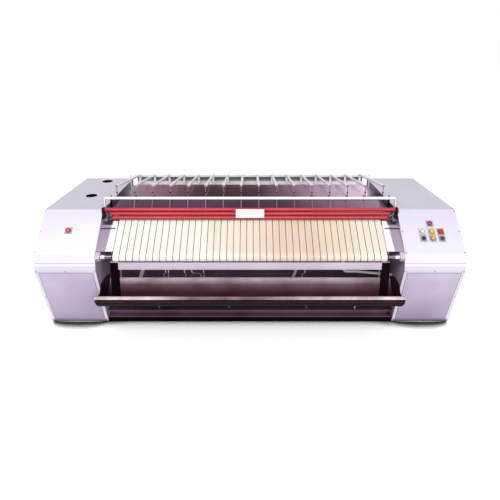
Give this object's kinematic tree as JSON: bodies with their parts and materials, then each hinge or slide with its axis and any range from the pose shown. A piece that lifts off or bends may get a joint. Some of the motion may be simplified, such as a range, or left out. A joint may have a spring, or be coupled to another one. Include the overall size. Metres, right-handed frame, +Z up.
{
  "type": "flatwork ironer",
  "caption": "Wide laundry ironer with padded rolls in heated half-round chests, a sloping belt feed table, finger guard, catch trough and end cabinets.",
  "frame": {"origin": "on the floor, in the middle of the machine's footprint", "axes": "+X along the rolls to the operator's right, +Y to the rear (delivery side), +Z up"},
  "size_m": [4.2, 1.66, 1.46],
  "materials": {
    "cabinet_paint": "smooth satin enamel",
    "frame_paint": "satin enamel",
    "belt_canvas": "woven cotton canvas",
    "roll_cloth": "dense ironing cloth",
    "tape_cotton": "narrow cotton tape",
    "red_paint": "gloss enamel",
    "white_paint": "gloss enamel",
    "grey_paint": "satin enamel",
    "black_paint": "satin enamel",
    "bright_steel": "ground steel",
    "trough_steel": "stainless sheet",
    "chest_iron": "machined and painted iron",
    "motor_paint": "hammered enamel",
    "grey_bezel": "moulded",
    "red_cap": "moulded",
    "white_cap": "moulded",
    "amber_cap": "moulded",
    "yellow_cap": "moulded",
    "black_cap": "moulded",
    "purple_cap": "moulded",
    "hose_white": "smooth",
    "cable_sheath": "smooth",
    "foot_rubber": "moulded"
  },
  "bodies": {
    "frame": {"left_side_frame": "frame_paint", "right_side_frame": "frame_paint", "outer_panels": "cabinet_paint", "left_top_cover": "cabinet_paint", "right_top_cover": "cabinet_paint", "left_upper_front_panel": "cabinet_paint", "right_upper_front_panel": "cabinet_paint", "lower_front_panels": "cabinet_paint", "rear_panels": "cabinet_paint", "button_bezels": "grey_bezel", "base_frames": "frame_paint", "levelling_feet": "foot_rubber", "cross_beams": "frame_paint", "front_chest": "chest_iron", "rear_chest": "chest_iron", "chest_supports": "black_paint", "bridge_plate": "bright_steel", "roll_bearings": "chest_iron", "gear_motor": "motor_paint", "drive_chain": "chest_iron", "guide_tapes": "tape_cotton", "tape_rod": "black_paint", "feed_gear_motor": "motor_paint", "feed_belts": "belt_canvas", "feed_bed": "black_paint", "apron_plates": "cabinet_paint", "front_rail": "cabinet_paint", "feed_brackets": "black_paint", "guard_brackets": "black_paint", "top_bar": "white_paint", "rear_rack": "grey_paint", "rack_arms": "white_paint", "rear_deflector": "grey_paint", "rear_cover": "cabinet_paint", "catch_trough": "trough_steel", "trough_ends": "trough_steel", "trough_struts": "white_paint", "steam_pipes": "hose_white", "cable_runs": "cable_sheath", "exhaust_collars": "black_paint", "panel_screws": "bright_steel"},
    "front_roll": {"front_roll_core": "bright_steel", "front_roll_padding": "roll_cloth", "front_roll_sprocket": "chest_iron"},
    "rear_roll": {"rear_roll_core": "bright_steel", "rear_roll_padding": "roll_cloth", "rear_roll_sprocket": "chest_iron"},
    "drive": {"drive_sprocket": "chest_iron"},
    "front_feed": {"front_feed_roller": "bright_steel"},
    "rear_feed": {"rear_feed_roller": "bright_steel"},
    "guard": {"finger_guard": "red_paint", "guard_plate": "white_paint"},
    "left_emergency_stop_body": {"left_emergency_stop": "red_cap"},
    "right_emergency_stop_body": {"right_emergency_stop": "red_cap"},
    "start_button_body": {"start_button": "white_cap"},
    "pause_button_body": {"pause_button": "amber_cap"},
    "stop_button_body": {"stop_button": "red_cap"},
    "mode_selector_body": {"mode_selector": "black_cap"},
    "jog_button_body": {"jog_button": "yellow_cap"},
    "reset_button_body": {"reset_button": "purple_cap"}
  },
  "joints": [
    {"name": "front_roll_spin", "type": "hinge", "parent": "frame", "child": "front_roll", "pos_m": [0, -0.078, 1.039], "axis": [1, 0, 0], "continuous": true},
    {"name": "rear_roll_spin", "type": "hinge", "parent": "frame", "child": "rear_roll", "pos_m": [0, 0.468, 1.039], "axis": [1, 0, 0], "continuous": true},
    {"name": "drive_spin", "type": "hinge", "parent": "frame", "child": "drive", "pos_m": [0, 0.195, 0.42], "axis": [1, 0, 0], "continuous": true},
    {"name": "front_feed_spin", "type": "hinge", "parent": "frame", "child": "front_feed", "pos_m": [0, -0.698, 0.848], "axis": [1, 0, 0], "continuous": true},
    {"name": "rear_feed_spin", "type": "hinge", "parent": "frame", "child": "rear_feed", "pos_m": [0, -0.38009, 1.11476], "axis": [1, 0, 0], "continuous": true},
    {"name": "guard_tilt", "type": "hinge", "parent": "frame", "child": "guard", "pos_m": [0, -0.415, 1.235], "axis": [1, 0, 0], "range_deg": [0, 8], "stiffness_Nm_per_rad": 60, "springref_deg": -6.88},
    {"name": "left_emergency_stop_press", "type": "slide", "parent": "frame", "child": "left_emergency_stop_body", "axis": [0, 0.7185, -0.6955], "range_m": [0, 0.004], "stiffness_N_per_m": 500, "springref_m": -0.003},
    {"name": "right_emergency_stop_press", "type": "slide", "parent": "frame", "child": "right_emergency_stop_body", "axis": [0, 0.7185, -0.6955], "range_m": [0, 0.004], "stiffness_N_per_m": 500, "springref_m": -0.003},
    {"name": "start_button_press", "type": "slide", "parent": "frame", "child": "start_button_body", "axis": [0, 0.7185, -0.6955], "range_m": [0, 0.004], "stiffness_N_per_m": 500, "springref_m": -0.003},
    {"name": "pause_button_press", "type": "slide", "parent": "frame", "child": "pause_button_body", "axis": [0, 0.7185, -0.6955], "range_m": [0, 0.004], "stiffness_N_per_m": 500, "springref_m": -0.003},
    {"name": "stop_button_press", "type": "slide", "parent": "frame", "child": "stop_button_body", "axis": [0, 0.7185, -0.6955], "range_m": [0, 0.004], "stiffness_N_per_m": 500, "springref_m": -0.003},
    {"name": "mode_selector_turn", "type": "hinge", "parent": "frame", "child": "mode_selector_body", "pos_m": [1.715, -0.60908, 1.00066], "axis": [0, -0.7185, 0.6955], "range_deg": [-45, 45]},
    {"name": "jog_button_press", "type": "slide", "parent": "frame", "child": "jog_button_body", "axis": [0, 0.7185, -0.6955], "range_m": [0, 0.004], "stiffness_N_per_m": 500, "springref_m": -0.003},
    {"name": "reset_button_press", "type": "slide", "parent": "frame", "child": "reset_button_body", "axis": [0, 0.7185, -0.6955], "range_m": [0, 0.004], "stiffness_N_per_m": 500, "springref_m": -0.003}
  ],
  "couplings": [
    {"joint": "rear_roll_spin", "follows": "front_roll_spin", "ratio": 1},
    {"joint": "drive_spin", "follows": "front_roll_spin", "ratio": 1.8667},
    {"joint": "front_feed_spin", "follows": "front_roll_spin", "ratio": -4.4444},
    {"joint": "rear_feed_spin", "follows": "front_roll_spin", "ratio": -4.4444}
  ]
}
